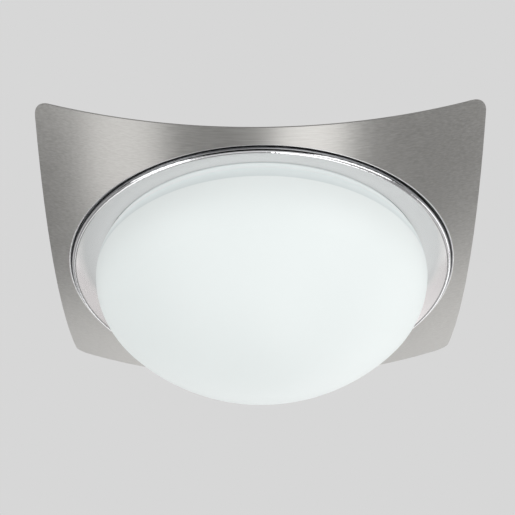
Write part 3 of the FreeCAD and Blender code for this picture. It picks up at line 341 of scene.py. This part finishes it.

# ---------------------------------------------------------------------------------------------
# Glass bowl: opal glass, blown in a mould. The bowl is acid etched to a satin below its widest
# circle, and the shoulder and the neck above it keep the fire polish. The shoulder is painted a
# shade darker than the bowl, and the neck darker still: painted shade. The glass also glows,
# though it is no lamp: painted light, for the light that opal glass carries inside itself.

# The shoulder and neck colours are painted shade for the glass above the widest circle, which faces
# up into the pan's recess. The neck sits deepest and is darkest.
ETCHED_COLOUR, SHOULDER_PAINTED_SHADE, NECK_PAINTED_SHADE = "#edf3f2", "#dae2e2", "#b4b8b8"
PAINTED_GLOW_COLOUR = "#eef4f4"
RAMP_HEIGHTS = (-0.040, -0.016)   # m; both ramps below run from the first to the second
COLOUR_AND_PAINTED_SHADE_RAMP = [(0.0125, ETCHED_COLOUR), (0.025, SHOULDER_PAINTED_SHADE), (0.6, SHOULDER_PAINTED_SHADE),
             (0.85, NECK_PAINTED_SHADE)]
# Painted light: the glass glows weakly on the bowl, most on the shoulder, and not at all at the
# neck.
PAINTED_GLOW_RAMP = [(0.0, "#2c2c2c"), (0.5, "#a8a8a8"), (0.62, "#a8a8a8"), (0.85, "#000000")]

# The etching is dull and even. Its colour, with the painted shade above the widest circle, comes
# from the colour and painted shade ramp, and its roughness from noise.
opal = mottled("satin_etched_opal_glass", ETCHED_COLOUR, SHOULDER_PAINTED_SHADE, 30.0, (0.46, 0.52), 0.0,
               Subsurface_Weight=0.2, Subsurface_Radius=(0.003, 0.003, 0.003),
               Subsurface_Scale=1.0, Emission_Color=linear(PAINTED_GLOW_COLOUR))
tree = opal.node_tree
shell = tree.nodes["Principled BSDF"]
place = add(tree, "ShaderNodeTexCoord")
height = add(tree, "ShaderNodeSeparateXYZ", Vector=place.outputs["Object"])
rise = add(tree, "ShaderNodeMapRange", Value=height.outputs["Z"], From_Min=RAMP_HEIGHTS[0],
           From_Max=RAMP_HEIGHTS[1])
# Painted shade: the shoulder and the neck are coloured darker than the etched bowl.
coat = add(tree, "ShaderNodeValToRGB", Fac=rise.outputs[0], stops=COLOUR_AND_PAINTED_SHADE_RAMP)
tree.links.new(coat.outputs[0], shell.inputs["Base Color"])
# Painted light: the emission strength follows height, so the shoulder glows most.
painted_glow = add(tree, "ShaderNodeValToRGB", Fac=rise.outputs[0], stops=PAINTED_GLOW_RAMP)
tree.links.new(painted_glow.outputs[0], shell.inputs["Emission Strength"])
dress(opal, "glass_shade")

# ---------------------------------------------------------------------------------------------
# Glass gasket: a ring moulded in silicone rubber, stuck under the pan's floor. It is milky, dull
# and lets a little light into itself.

dress(mottled("moulded_silicone_rubber", "#dcdcd6", "#d0d0ca", 6.0, (0.5, 0.6), 0.01,
              Subsurface_Weight=0.1, Subsurface_Radius=(0.002, 0.002, 0.002)), "glass_gasket")

# ---------------------------------------------------------------------------------------------
# Spring clips: three hairpins bent from hardened spring-steel strip, each with its foot riveted
# under the pan's floor. The strip is mid grey, with the long fine lines of the rolls. The rivets
# are soft aluminium, paler and duller, with small dents from the setting tool.

dress(mottled("hardened_spring_steel", "#a3a5a7", "#85878a", (1.2, 1.2, 6.0), (0.26, 0.38), 0.004,
              Metallic=1.0),
      "clip_feet", "clip_spring_1", "clip_spring_2", "clip_spring_3")
dress(mottled("headed_aluminium_rivet", "#d6d8d9", "#c0c3c5", 0.9, (0.34, 0.48), 0.01,
              Metallic=1.0),
      "clip_rivets", "bracket_rivets")

# ---------------------------------------------------------------------------------------------
# Lampholders: a glazed porcelain body with a screw sleeve and a springy contact, screwed to a
# zinc-plated bracket that is riveted to the pan's floor.

# The glaze is a clear wet coat over an ivory white body, with a faint orange-peel dimple.
porcelain = mottled("glazed_white_porcelain", "#f0eee8", "#e6e2d9", 3.5, (0.10, 0.18), 0.03,
                    Coat_Weight=0.6, Coat_Roughness=0.04)
# Nickel over brass is a warm, slightly cloudy silver.
sleeve_metal = mottled("nickel_plated_brass", "#cbc5b6", "#b6af9e", 2.0, (0.20, 0.32), 0.006,
                       Metallic=1.0)
# Bare brass is yellow, with lines from the rolling.
brass = mottled("rolled_brass", "#d4b56f", "#bb9850", (0.8, 3.0, 3.0), (0.24, 0.38), 0.006,
                Metallic=1.0)
for holder in ("lampholder_a", "lampholder_b"):
    dress(porcelain, holder + "_body")
    dress(sleeve_metal, holder + "_sleeve")
    dress(brass, holder + "_contact")
    dress(zinc, holder + "_bracket", holder + "_screws")

# ---------------------------------------------------------------------------------------------
# Bulbs: a blown envelope, a bead of black insulating glass and a tip of solder. The screw cap is
# rolled from 0.4 mm aluminium sheet, with the 3.62 mm thread of the common 26 mm cap, and bulb b
# points the other way. Lengths are in mm, and those along the cap are from the tip's end.

CAP_RADIUS, CAP_SHEET = 13.2, 0.4
CAP_MOUTH_RADIUS, CAP_MOUTH_START = 8.6, 4.2
CAP_START, CAP_END = 6.5, 26.0
THREAD_PITCH, THREAD_DEPTH = 3.62, 1.0
THREAD_START, THREAD_END, THREAD_FADE = 7.6, 20.6, 1.2
CAP_RINGS, CAP_SPOKES = 118, 96
CREASE = math.radians(35)

# The glass is clear and smooth outside and frosted within, so it is milky under a sharp gloss.
dress(mottled("inside_frosted_glass", "#f2f3f1", "#e9ebe8", 1.5, (0.30, 0.40), 0.0,
              Transmission_Weight=0.35, Subsurface_Weight=0.1,
              Subsurface_Radius=(0.002, 0.002, 0.002), Coat_Weight=0.8, Coat_Roughness=0.03),
      "bulb_a_glass", "bulb_b_glass")
# The bead is nearly black and shines like wet tar.
dress(mottled("black_insulating_glass", "#1a191c", "#0f0e11", 1.0, (0.06, 0.14), 0.01),
      "bulb_a_bead", "bulb_b_bead")
# Solder sets as a lumpy grey drop, bright in places and frosty in others.
dress(mottled("tin_solder", "#bdbfc0", "#9a9c9e", 0.8, (0.28, 0.50), 0.06, Metallic=1.0),
      "bulb_a_tip", "bulb_b_tip")


def thread_cap(name, mouth, axis_y, axis_z, way):
    """A rolled screw cap about an axis along X, from its length s and its turn a. Its outside is
    (mouth + way (s - s0), axis_y + r cos a, axis_z + way r sin a). The radius r is a straight lip
    that widens from the mouth, and then the cap's radius less a thread: half the depth times
    (1 - cos(2 pi s / pitch - a)), faded in and out. The inside is the same, one sheet less."""
    length = np.concatenate([[CAP_MOUTH_START],
                             np.linspace(CAP_START, CAP_END, CAP_RINGS)])[:, None]
    turn = np.linspace(0, 2 * np.pi, CAP_SPOKES, endpoint=False)[None, :]
    fade_in = np.clip((length - THREAD_START) / THREAD_FADE + 0.5, 0, 1)
    fade_out = np.clip((THREAD_END - length) / THREAD_FADE + 0.5, 0, 1)
    wave = 0.5 * THREAD_DEPTH * (1 - np.cos(2 * np.pi * length / THREAD_PITCH - turn))
    outside = CAP_RADIUS - fade_in * fade_out * wave
    outside[0] = CAP_MOUTH_RADIUS
    inside = outside - CAP_SHEET
    inside[0] = CAP_MOUTH_RADIUS
    inner_length = length + np.where(length < CAP_START, CAP_SHEET, 0)
    radius = np.concatenate([outside, inside[::-1]])
    along = np.concatenate([length, inner_length[::-1]]) * np.ones_like(turn)
    points = np.stack([1000 * mouth + way * (along - CAP_MOUTH_START),
                       1000 * axis_y + radius * np.cos(turn),
                       1000 * axis_z + way * radius * np.sin(turn)], axis=-1) / 1000
    rows, columns = radius.shape
    row, column = np.meshgrid(np.arange(rows), np.arange(columns), indexing="ij")
    after, beside = (row + 1) % rows, (column + 1) % columns
    faces = np.stack([row * columns + column, row * columns + beside,
                      after * columns + beside, after * columns + column], axis=-1)
    cap = surface(name, points.reshape(-1, 3), faces.reshape(-1, 4))
    cap.data.polygons.foreach_set("use_smooth", [True] * len(cap.data.polygons))
    cap.data.set_sharp_from_angle(angle=CREASE)
    return cap


# Rolled sheet is pale and bright, with fine lines along the cap.
rolled_aluminium = mottled("rolled_aluminium_sheet", "#d3d5d7", "#bcbfc2", (6.0, 0.9, 0.9),
                           (0.22, 0.36), 0.006, Metallic=1.0)
for bulb, way in (("bulb_a", 1), ("bulb_b", -1)):
    low, high = (np.array(corner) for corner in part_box(bulb + "_cap"))
    middle = (low + high) / 2
    cap = thread_cap(bulb + "_threaded_cap", low[0] if way > 0 else high[0], middle[1], middle[2],
                     way)
    cap.data.materials.append(rolled_aluminium)
    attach(cap, bulb)
    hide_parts(bulb + "_cap")

# ---------------------------------------------------------------------------------------------
# Terminal block and cable bush: a block moulded in white polyamide with a fine spark grain, three
# drilled brass tubes in it, and a bush of soft, dull black rubber pushed into the pan's floor.

dress(mottled("moulded_white_polyamide", "#ebeae4", "#dfded7", 1.2, (0.42, 0.54), 0.02,
              Subsurface_Weight=0.1, Subsurface_Radius=(0.002, 0.002, 0.002)), "terminal_block")
dress(brass, "terminal_tubes")
dress(mottled("moulded_black_rubber", "#2b2b2c", "#1c1c1d", 1.5, (0.55, 0.70), 0.03),
      "cable_grommet")

# ---------------------------------------------------------------------------------------------
# Inner leads: wires in smooth, half-matt silicone sleeves, brown for live, blue for neutral, and
# green with a yellow stripe for the earth. That one ends at a stamped tag of tinned copper, which
# is a warm, dull silver.

EARTH_YELLOW = "#d9c02c"
STRIPE_BELOW = -0.3   # the stripe is where the surface faces down by more than this

dress(mottled("tinned_copper", "#c9c5be", "#aea79c", 1.2, (0.28, 0.42), 0.01, Metallic=1.0),
      "earth_tag")
dress(mottled("brown_silicone_sleeve", "#6a4128", "#5a3520", 2.0, (0.38, 0.50), 0.01),
      "live_leads")
dress(mottled("blue_silicone_sleeve", "#2f66ac", "#25569a", 2.0, (0.38, 0.50), 0.01),
      "neutral_leads")
striped = mottled("green_yellow_silicone_sleeve", "#3f9a41", "#348637", 2.0, (0.38, 0.50), 0.01)
tree = striped.node_tree
facing = add(tree, "ShaderNodeSeparateXYZ",
             Vector=add(tree, "ShaderNodeTexCoord").outputs["Normal"])
stripe = add(tree, "ShaderNodeMath", operation="LESS_THAN", Value__0=facing.outputs["Z"],
             Value__1=STRIPE_BELOW)
painted = add(tree, "ShaderNodeMix", data_type="RGBA", Factor=stripe.outputs[0],
              A=tree.nodes["Color Ramp"].outputs[0], B=linear(EARTH_YELLOW))
tree.links.new(painted.outputs["Result"], tree.nodes["Principled BSDF"].inputs["Base Color"])
dress(striped, "earth_lead")
